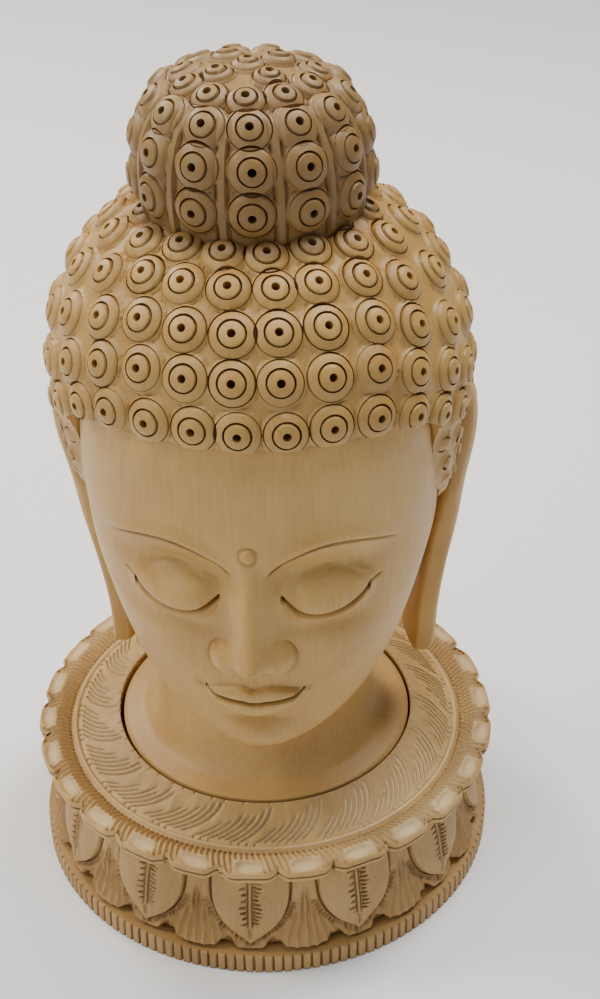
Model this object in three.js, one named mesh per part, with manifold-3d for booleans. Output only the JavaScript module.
// A carved wooden head with snail-shell curls and a topknot. Its round neck foot stands in a
// shallow recess turned into the top of a separate lotus stand.
// Millimetres, +Z up, the face looks along -Y, and the origin is the centre of the stand's underside.
import * as THREE from "three";
import { mergeVertices } from "three/addons/utils/BufferGeometryUtils.js";
import Module from "manifold-3d";

const wasm = await Module();
wasm.setup();

// Driving dimensions of the stand.
const footRadius = 55;
const footHeight = 5;
const standTop = 34.4;
const rimRadius = 55;
const rimTopHeight = 32.6;
const ridgeRadius = 46.2;
const petalCount = 13;
const lobeCount = 2 * petalCount;
const recessRadius = 35.2;
const recessDepth = 7.6;

// Driving dimensions of the head.
const neckFootRadius = 34.5;
const neckFootShift = { x: 0.2, y: -0.15 }; // the foot sits a little off the recess's centre
const seatGap = 0.3;
const chinHeight = 58;
const hairlineHeight = 136.3;
const templeHairHeight = 127;
const capCentreHeight = 134;
const capRadius = { side: 43.3, front: 45.3, up: 37.4 };
const knotRadius = 24.1;
const knotBaseHeight = 165.4;
const knotWidestHeight = 174;
const knotTopHeight = 195.3;
const curlRadius = 4.7;
const curlRise = 1.2;
const chinShift = 2.2; // the head leans: its chin stands right of the neck foot's axis
const crownShift = -0.6;

// The face is divided in equal thirds: hairline to brow, brow to nose base, nose base to chin.
const faceThird = (hairlineHeight - chinHeight) / 3;
const browHeight = hairlineHeight - faceThird;
const noseBaseHeight = chinHeight + faceThird;
const noseTipHeight = noseBaseHeight + 3;
const mouthHeight = noseBaseHeight - faceThird / 3;
const eyeHeight = browHeight - 8;
const dotHeight = browHeight + 2;
// The face is five eyes wide, and the nose is as wide as the space between the eyes.
const faceWidth = 75;
const eyeWidth = faceWidth / 5;

const radians = THREE.MathUtils.degToRad;
const turn = 2 * Math.PI;
const { smoothstep, lerp, clamp, euclideanModulo } = THREE.MathUtils;

// A point at an angle that turns from the face's direction towards +X.
const around = (angle, side, depth, height) =>
  new THREE.Vector3(side * Math.sin(angle), -depth * Math.cos(angle), height);

// A closed ring: rising angles, and the point that place(angle) gives for each.
const ringAt = (angles, place) => ({ angles, points: angles.map(place) });

function ring(count, start, place) {
  return ringAt(Array.from({ length: count }, (_, i) => start + (turn * i) / count), place);
}

// Joins two rings, which may differ in count, with triangles. It walks round both by angle.
function band(lower, upper, triangles) {
  const start = lower.angles[0];
  const sorted = upper.points
    .map((point, i) => ({ point, angle: start + euclideanModulo(upper.angles[i] - start, turn) }))
    .sort((a, b) => a.angle - b.angle);
  const [n, m] = [lower.points.length, sorted.length];
  const lowerAngle = (i) => lower.angles[i % n] + (i < n ? 0 : turn);
  const upperAngle = (j) => sorted[j % m].angle + (j < m ? 0 : turn);
  let [i, j] = [0, 0];
  while (i < n || j < m) {
    const [p, q] = [lower.points[i % n], sorted[j % m].point];
    if (j === m || (i < n && lowerAngle(i + 1) <= upperAngle(j + 1))) {
      triangles.push(p, lower.points[(i + 1) % n], q);
      i += 1;
    } else {
      triangles.push(p, sorted[(j + 1) % m].point, q);
      j += 1;
    }
  }
}

// Closes a ring with a fan to one point: outermost at the top of a stack, or at its bottom.
function fan(edge, centre, atTop, triangles) {
  edge.points.forEach((p, i) => {
    const q = edge.points[(i + 1) % edge.points.length];
    triangles.push(...(atTop ? [p, q, centre] : [q, p, centre]));
  });
}

// A closed solid from rings listed from the bottom up.
function stack(rings, bottomCentre, topCentre) {
  const triangles = [];
  rings.slice(1).forEach((upper, i) => band(rings[i], upper, triangles));
  fan(rings[0], bottomCentre, false, triangles);
  fan(rings[rings.length - 1], topCentre, true, triangles);
  return triangles;
}

function solidOf(triangles) {
  const merged = mergeVertices(new THREE.BufferGeometry().setFromPoints(triangles), 1e-4);
  return new wasm.Manifold(
    new wasm.Mesh({
      numProp: 3,
      vertProperties: new Float32Array(merged.attributes.position.array),
      triVerts: new Uint32Array(merged.index.array),
    }),
  );
}

function geometryOf(solid) {
  const mesh = solid.getMesh();
  const geometry = new THREE.BufferGeometry();
  geometry.setAttribute("position", new THREE.BufferAttribute(mesh.vertProperties, 3));
  geometry.setIndex(new THREE.BufferAttribute(mesh.triVerts, 1));
  return geometry;
}

// Face relief is a height towards the viewer over the smooth head, for x across and z up.
const mound = (x, z, cx, cz, rx, rz) => Math.exp(-(((x - cx) / rx) ** 2) - ((z - cz) / rz) ** 2);
const softMax = (a, b) => (a + b + Math.sqrt((a - b) ** 2 + 1)) / 2 - 0.5;

function noseRelief(x, z) {
  const rootHeight = browHeight - 3;
  const down = clamp((rootHeight - z) / (rootHeight - noseTipHeight), 0, 1);
  const ridge = lerp(1.8, 9.4, down ** 1.15);
  const halfWidth = lerp(3.2, 4.6, down);
  const under = smoothstep(z, noseBaseHeight - 1.4, noseTipHeight);
  const root = 1 - smoothstep(z, rootHeight - 2, rootHeight + 7);
  const bridge = ridge * Math.exp(-((Math.abs(x) / halfWidth) ** 2.4)) * under * root;
  const tip = 1.1 * mound(x, z, 0, noseTipHeight + 1, 4, 3);
  const wings = 4.4 * mound(Math.abs(x), z, 0.38 * eyeWidth, noseBaseHeight + 2.4, 2.4, 2.7);
  return softMax(bridge + tip * under, wings);
}

function eyeRelief(x, z) {
  const ax = Math.abs(x);
  const hollow = -2.3 * mound(ax, z, eyeWidth, browHeight - 2.6, 10, 3.4);
  const corner = -1.8 * mound(ax, z, 0.45 * eyeWidth, eyeHeight + 0.5, 2.6, 4.6);
  const under = -0.8 * mound(ax, z, eyeWidth, eyeHeight - 8, 9, 2.6);
  const lid = clamp(1 - ((ax - eyeWidth) / 9.4) ** 2 - ((z - eyeHeight) / 5.4) ** 2, 0, 1);
  return hollow + corner + under + 3.2 * Math.sqrt(lid);
}

function mouthRelief(x, z) {
  const halfWidth = 0.74 * eyeWidth;
  const across = clamp(1 - (x / halfWidth) ** 2, 0, 1);
  const line = mouthHeight + 1.2 * (x / halfWidth) ** 2;
  const upper = 1.9 * across ** 0.8 * mound(0, z, 0, line + 2.1, 1, 1.9);
  const lower = 2.5 * across * mound(0, z, 0, line - 2.5, 1, 2.3);
  const hollow = -0.7 * mound(Math.abs(x), z, halfWidth + 1, line, 1.8, 1.8);
  const belowLip = -1.2 * mound(x, z, 0, mouthHeight - 6.8, 7, 2);
  return upper + lower + hollow + belowLip + 1.6 * mound(x, z, 0, mouthHeight, 14, 9);
}

function faceRelief(x, z) {
  const ax = Math.abs(x);
  const brow = 0.8 * mound(ax, z, 14, browHeight + 2.5, 12, 3);
  const cheek = 1.4 * mound(ax, z, 20, noseBaseHeight + 3, 9, 9);
  const chin = 2.2 * mound(x, z, 0, chinHeight + 5, 8, 4.4);
  const dot = 0.9 * mound(x, z, 0, dotHeight, 1.7, 1.7);
  return noseRelief(x, z) + eyeRelief(x, z) + mouthRelief(x, z) + brow + cheek + chin + dot;
}

// The smooth head and neck as stations from the bottom up. Each gives the front's [y, z],
// the side's [x, y, z], the back's [y, z], and how square the ring through them is.
const stations = [
  { front: [-33.6, 34.3], side: [33.6, 0, 34.3], back: [33.6, 34.3], square: 2 },
  { front: [-28.8, 36], side: [28.8, 0, 36], back: [28.8, 36], square: 2 },
  { front: [-25.3, 41], side: [25.3, 0, 41], back: [25.3, 41], square: 2 },
  { front: [-23.9, 48], side: [23.9, 0, 48], back: [24.2, 48], square: 2 },
  { front: [-23.4, 56], side: [23.8, 0.5, 57], back: [24.8, 58], square: 2 },
  { front: [-25.2, 61.6], side: [24.8, 1, 64], back: [26, 68], square: 2 },
  { front: [-32.6, 60.4], side: [27.6, 1, 69.5], back: [28.5, 77], square: 2 },
  { front: [-38.8, chinHeight + 0.3], side: [30.8, 0, 74], back: [32, 86], square: 2 },
  { front: [-42.2, chinHeight + 2.6], side: [33, -1, 79.5], back: [36.5, 95], square: 2 },
  { front: [-43.2, 67], side: [34.8, -2, 86], back: [40, 103], square: 2.05 },
  { front: [-44.2, 75], side: [36.3, -3, 93], back: [42.5, 110], square: 2.1 },
  { front: [-45, 84], side: [faceWidth / 2, -4, 99.5], back: [43.4, 116], square: 2.15 },
  { front: [-45.2, 93], side: [37.9, -4, 105.5], back: [43.8, 121], square: 2.2 },
  { front: [-45.4, 102], side: [38.2, -4, 111.5], back: [44, 125], square: 2.25 },
  { front: [-45.8, 111], side: [38.3, -4, 117.5], back: [44, 129], square: 2.3 },
  { front: [-45.4, 121], side: [38.2, -3, 124], back: [43.6, 132], square: 2.3 },
  { front: [-43.8, 131], side: [38, -2, 131], back: [42, 135], square: 2.3 },
  { front: [-40.5, 141], side: [36, 0, 140], back: [39, 142], square: 2.3 },
  { front: [-32, 151], side: [29, 0, 150], back: [32, 151], square: 2.2 },
];

const through = (points) => new THREE.CatmullRomCurve3(points, false, "catmullrom", 0.5);
const frontCurve = through(stations.map((s) => new THREE.Vector3(0, ...s.front)));
const sideCurve = through(stations.map((s) => new THREE.Vector3(...s.side)));
const backCurve = through(stations.map((s) => new THREE.Vector3(0, ...s.back)));
const squareCurve = through(stations.map((s, i) => new THREE.Vector3(i, s.square, 0)));

const sharpened = (value, power) => Math.sign(value) * Math.abs(value) ** power;

// A point of the head without hair or ears, at a share of the way up the stations and an angle.
function headPoint(share, angle) {
  const side = sideCurve.getPoint(share);
  const end = (Math.cos(angle) > 0 ? frontCurve : backCurve).getPoint(share);
  const power = 2 / squareCurve.getPoint(share).y;
  const along = Math.abs(sharpened(Math.cos(angle), power));
  const p = new THREE.Vector3(
    side.x * sharpened(Math.sin(angle), power),
    side.y + (end.y - side.y) * along,
    side.z + (end.z - side.z) * Math.cos(angle) ** 2,
  );
  const facing = smoothstep(Math.cos(angle), Math.cos(radians(75)), Math.cos(radians(50)));
  p.y -= facing * faceRelief(p.x, p.z);
  return p;
}

// Columns stand close together across the face and wide apart behind.
function headAngles() {
  const [faceHalf, faceColumns, backColumns] = [54, 28, 12];
  const across = Array.from({ length: faceColumns }, (_, i) => -faceHalf + (2 * faceHalf * i) / faceColumns);
  const behind = Array.from(
    { length: backColumns },
    (_, i) => faceHalf + ((360 - 2 * faceHalf) * i) / backColumns,
  );
  return [...across, ...behind].map(radians);
}

function faceAndNeck() {
  const angles = headAngles();
  const last = stations.length - 1;
  const neckShares = [0, 1, 2, 3].map((i) => i / last);
  const faceRows = 34;
  const faceShares = Array.from({ length: faceRows + 1 }, (_, i) => lerp(4, last, i / faceRows) / last);
  const bottom = standTop - recessDepth + seatGap;
  const level = (height) => ringAt(angles, (a) => around(a, neckFootRadius, neckFootRadius, height));
  const rings = [...neckShares, ...faceShares].map((share) => ringAt(angles, (a) => headPoint(share, a)));
  const inside = new THREE.Vector3(0, 0, hairlineHeight + 20);
  return stack([level(bottom), level(standTop - 0.8), ...rings], new THREE.Vector3(0, 0, bottom), inside);
}

// The hair's surface below the cap: half width, and depth behind, at each height.
const napeLevels = [
  { height: 90, side: 32.5, back: 34 },
  { height: 101, side: 38, back: 40.5 },
  { height: 112, side: 41.5, back: 43.8 },
  { height: 124, side: 43, back: 45 },
  { height: capCentreHeight, side: capRadius.side, back: capRadius.front },
];

const nape = (height) => (angle) => {
  const upper = Math.max(1, napeLevels.findIndex((level) => level.height >= height));
  const [a, b] = [napeLevels[upper - 1], napeLevels[upper]];
  const share = (height - a.height) / (b.height - a.height);
  return around(angle, lerp(a.side, b.side, share), lerp(a.back, b.back, share), height);
};

const cap = (latitude) => (angle) => {
  const level = Math.cos(radians(latitude));
  const height = capCentreHeight + capRadius.up * Math.sin(radians(latitude));
  return around(angle, capRadius.side * level, capRadius.front * level, height);
};

// The topknot bulges over its base and closes in a rounded dome.
const knot = (height) => (angle) => {
  const flatness = 2.2;
  const below = clamp((knotWidestHeight - height) / (knotWidestHeight - knotBaseHeight), 0, 1);
  const above = clamp((height - knotWidestHeight) / (knotTopHeight - knotWidestHeight), 0, 1);
  const radius = knotRadius * (1 - above ** flatness) ** (1 / flatness) - 0.8 * below ** 2;
  return around(angle, radius, radius, height);
};

// Rows of curls from the nape to the top: where a row's cells begin and end, how many there are
// all round, and the angle in degrees of one of them. The lowest rows are plainer.
const rows = [
  { from: nape(90), to: nape(99.2), count: 21, start: 4, plain: true },
  { from: nape(99.5), to: nape(108.4), count: 24, start: 6, plain: true },
  { from: nape(108.7), to: nape(117.2), count: 27, start: 0, plain: true },
  { from: nape(117.4), to: nape(125.8), count: 28, start: 5 },
  { from: nape(126), to: cap(1.6), count: 29, start: 6 },
  { from: cap(1.9), to: cap(15.4), count: 30, start: -1 },
  { from: cap(15.8), to: cap(29.5), count: 27, start: -3 },
  { from: cap(29.8), to: cap(42.2), count: 24, start: -4.6 },
  { from: cap(42.5), to: cap(51.6), count: 21, start: -7.5 },
  { from: cap(51.8), to: cap(57.2), count: 17, start: 7.2 },
  { from: knot(knotBaseHeight + 0.6), to: knot(177.2), count: 13, start: 4 },
  { from: knot(177.5), to: knot(185.2), count: 13, start: 4 },
  { from: knot(185.5), to: knot(190.8), count: 13, start: 4 },
  { from: knot(191), to: knot(194), count: 10, start: 0 },
  { from: knot(194.1), to: knot(195.1), count: 5, start: -10 },
];

// One cell of hair: its corners lie in the valleys, and a faceted curl with a sunk centre stands
// between them. The lowest curls have four sides, the others five.
function curlCell(corners, sides, triangles) {
  const [a, b, c, d] = corners;
  const centre = a.clone().add(b).add(c).add(d).multiplyScalar(0.25);
  const across = b.clone().add(c).sub(a).sub(d).multiplyScalar(0.5);
  const along = c.clone().add(d).sub(a).sub(b).multiplyScalar(0.5);
  const out = across.clone().cross(along).normalize();
  const reach = 0.43 * Math.min(1, (2 * curlRadius) / across.length());
  const reachUp = 0.47 * Math.min(1, (2 * curlRadius) / along.length());
  const rim = ring(sides, Math.PI / sides - Math.PI / 2, (t) =>
    centre
      .clone()
      .addScaledVector(across, reach * Math.cos(t))
      .addScaledVector(along, reachUp * Math.sin(t))
      .addScaledVector(out, curlRise),
  );
  band({ angles: [-135, -45, 45, 135].map(radians), points: corners }, rim, triangles);
  fan(rim, centre.addScaledVector(out, curlRise * 0.45), true, triangles);
}

function hairShell() {
  const triangles = [];
  let below = null;
  rows.forEach((row) => {
    const start = radians(row.start) - Math.PI / row.count;
    const lower = ring(row.count, start, row.from);
    const upper = ring(row.count, start, row.to);
    if (below) band(below, lower, triangles);
    else fan(lower, new THREE.Vector3(0, 0, napeLevels[0].height + 2), false, triangles);
    for (let i = 0; i < row.count; i += 1) {
      const j = (i + 1) % row.count;
      const corners = [lower.points[i], lower.points[j], upper.points[j], upper.points[i]];
      curlCell(corners, row.plain ? 4 : 5, triangles);
    }
    below = upper;
  });
  fan(below, new THREE.Vector3(0, 0, knotTopHeight + 0.9), true, triangles);
  return triangles;
}

// How many degrees round from the front the face stays clear of hair, at a height.
function clearHalfAngle(height) {
  const arch = clamp((hairlineHeight - height) / (hairlineHeight - templeHairHeight), 0.002, 1);
  if (height >= templeHairHeight) return 61 * Math.sqrt(arch);
  if (height > 112) return lerp(66, 61, (height - 112) / (templeHairHeight - 112));
  if (height > 98) return lerp(84, 66, (height - 98) / 14);
  return lerp(103, 84, clamp((height - 92) / 6, 0, 1));
}

// What is cut out of the hair to leave the face: a block in front, bounded by the hairline.
function faceWindow() {
  const heights = [76, 92, 98, 105, 112, templeHairHeight, 130, 132.6, 134.6, 135.8, hairlineHeight];
  const [inner, outer, steps] = [8, 80, 12];
  const rings = heights.map((height) => {
    const half = radians(clearHalfAngle(height));
    const sweep = Array.from({ length: steps + 1 }, (_, i) => lerp(-half, half, i / steps));
    const outerArc = sweep.map((a) => around(a, outer, outer, height));
    const innerArc = sweep.map((a) => around(a, inner, inner, height)).reverse();
    const points = [...outerArc, ...innerArc];
    return { angles: points.map((_, i) => (turn * i) / points.length), points };
  });
  const middle = (height) => new THREE.Vector3(0, -(inner + outer) / 2, height);
  return stack(rings, middle(heights[0]), middle(hairlineHeight));
}

// A long ear, from the temple down to a squared lobe that hangs free. Each section gives the
// centre's x, y and z, half the thickness and half the depth. The inner face slants inwards
// towards the back, so that the lobe is a wedge, thin in front.
function ear(side) {
  const slant = 3;
  const sections = [
    { x: 35.6, y: 5.2, z: 51.6, thick: 1.9, deep: 5.3 },
    { x: 35.6, y: 5.2, z: 54, thick: 2.5, deep: 6.2 },
    { x: 36.2, y: 5.2, z: 65, thick: 2.5, deep: 6.3 },
    { x: 37.8, y: 5, z: 78, thick: 2.6, deep: 6.4 },
    { x: 39.8, y: 5, z: 90, thick: 2.8, deep: 7 },
    { x: 41.4, y: 4.8, z: 102, thick: 2.9, deep: 8 },
    { x: 43, y: 4, z: 113, thick: 3, deep: 8 },
    { x: 42.8, y: 2.8, z: 121, thick: 2.9, deep: 6.4 },
    { x: 40, y: 2, z: 125.5, thick: 2, deep: 3.4 },
  ];
  const squareness = 2 / 2.8;
  const rings = sections.map((s) =>
    ring(10, 0, (a) => {
      const out = side * sharpened(Math.sin(a), squareness);
      const fore = sharpened(Math.cos(a), squareness);
      const inner = out < 0 ? (slant * (1 - fore)) / 2 : 0;
      return new THREE.Vector3(side * (s.x + s.thick * out - inner), s.y - s.deep * fore, s.z);
    }),
  );
  const tipOf = (s, dz) => new THREE.Vector3(side * s.x, s.y, s.z + dz);
  return stack(rings, tipOf(sections[0], -0.3), tipOf(sections[sections.length - 1], 1));
}

// How far the head's lean moves a point at a height sideways.
function lean(height) {
  if (height < chinHeight) return chinShift * smoothstep(height, 38, chinHeight);
  return lerp(chinShift, crownShift, (height - chinHeight) / (knotTopHeight - chinHeight));
}

function headGeometry() {
  const hair = solidOf(hairShell()).subtract(solidOf(faceWindow()));
  const whole = solidOf(faceAndNeck()).add(hair).add(solidOf(ear(1))).add(solidOf(ear(-1)));
  const geometry = geometryOf(whole);
  const position = geometry.attributes.position;
  for (let i = 0; i < position.count; i += 1) {
    const height = position.getZ(i);
    const foot = 1 - smoothstep(height, 36, 56);
    position.setX(i, position.getX(i) + lean(height) + foot * neckFootShift.x);
    position.setY(i, position.getY(i) + foot * neckFootShift.y);
  }
  return geometry;
}

// The petals hang round the stand: each bulges in its middle, and its foot reaches lower there.
function petalRing(share, place) {
  const [low, high] = [
    { radius: 52.2, height: footHeight + 0.6 },
    { radius: 49, height: 26.4 },
  ];
  return place((angle) => {
    const middle = Math.abs(Math.cos((petalCount / 2) * angle));
    const bulge = 1.5 * middle * Math.sin(Math.PI * share) + 0.7 * middle * (1 - share);
    const r = lerp(low.radius, high.radius, share) + bulge;
    return around(angle, r, r, lerp(low.height + 1.5 * (1 - middle), high.height, share));
  });
}

// The stand's rings from its underside up, over the rim and down into the recess.
function standRings() {
  const fine = (place) => ring(3 * lobeCount, 0, place);
  const round = (radius, height) => ring(2 * lobeCount, 0, (a) => around(a, radius, radius, height));
  // The rim's edge is cut in rounded lobes with sharp notches between them.
  const lobed = (radius, depth, height) =>
    fine((a) => {
      const notch = 1 - Math.abs(Math.sin((lobeCount / 2) * a)) ** 0.6;
      return around(a, radius - depth * notch, radius - depth * notch, height);
    });
  return [
    round(footRadius, 0),
    round(footRadius, footHeight),
    ...[0, 0.18, 0.42, 0.7, 1].map((share) => petalRing(share, fine)),
    lobed(rimRadius - 1.1, 1.2, rimTopHeight - 3.2),
    lobed(rimRadius, 1.7, rimTopHeight - 1.8),
    lobed(rimRadius - 0.8, 1.7, rimTopHeight),
    lobed(rimRadius - 3.8, 0.6, rimTopHeight - 0.6),
    round(ridgeRadius + 1.6, rimTopHeight - 2),
    round(ridgeRadius, rimTopHeight - 1.4),
    round(ridgeRadius - 0.9, rimTopHeight - 1.7),
    round(recessRadius, standTop),
    round(recessRadius, standTop - recessDepth),
  ];
}

function standGeometry() {
  const floor = new THREE.Vector3(0, 0, standTop - recessDepth);
  return geometryOf(solidOf(stack(standRings(), new THREE.Vector3(0, 0, 0), floor)));
}

const headWood = new THREE.MeshStandardMaterial({ color: 0xc7a66f, roughness: 0.62, metalness: 0 });
const standWood = new THREE.MeshStandardMaterial({ color: 0xbd9a68, roughness: 0.68, metalness: 0 });

const head = new THREE.Mesh(headGeometry(), headWood);
head.name = "head";
const stand = new THREE.Mesh(standGeometry(), standWood);
stand.name = "lotus_stand";

const statue = new THREE.Group();
statue.add(head, stand);

export default statue;
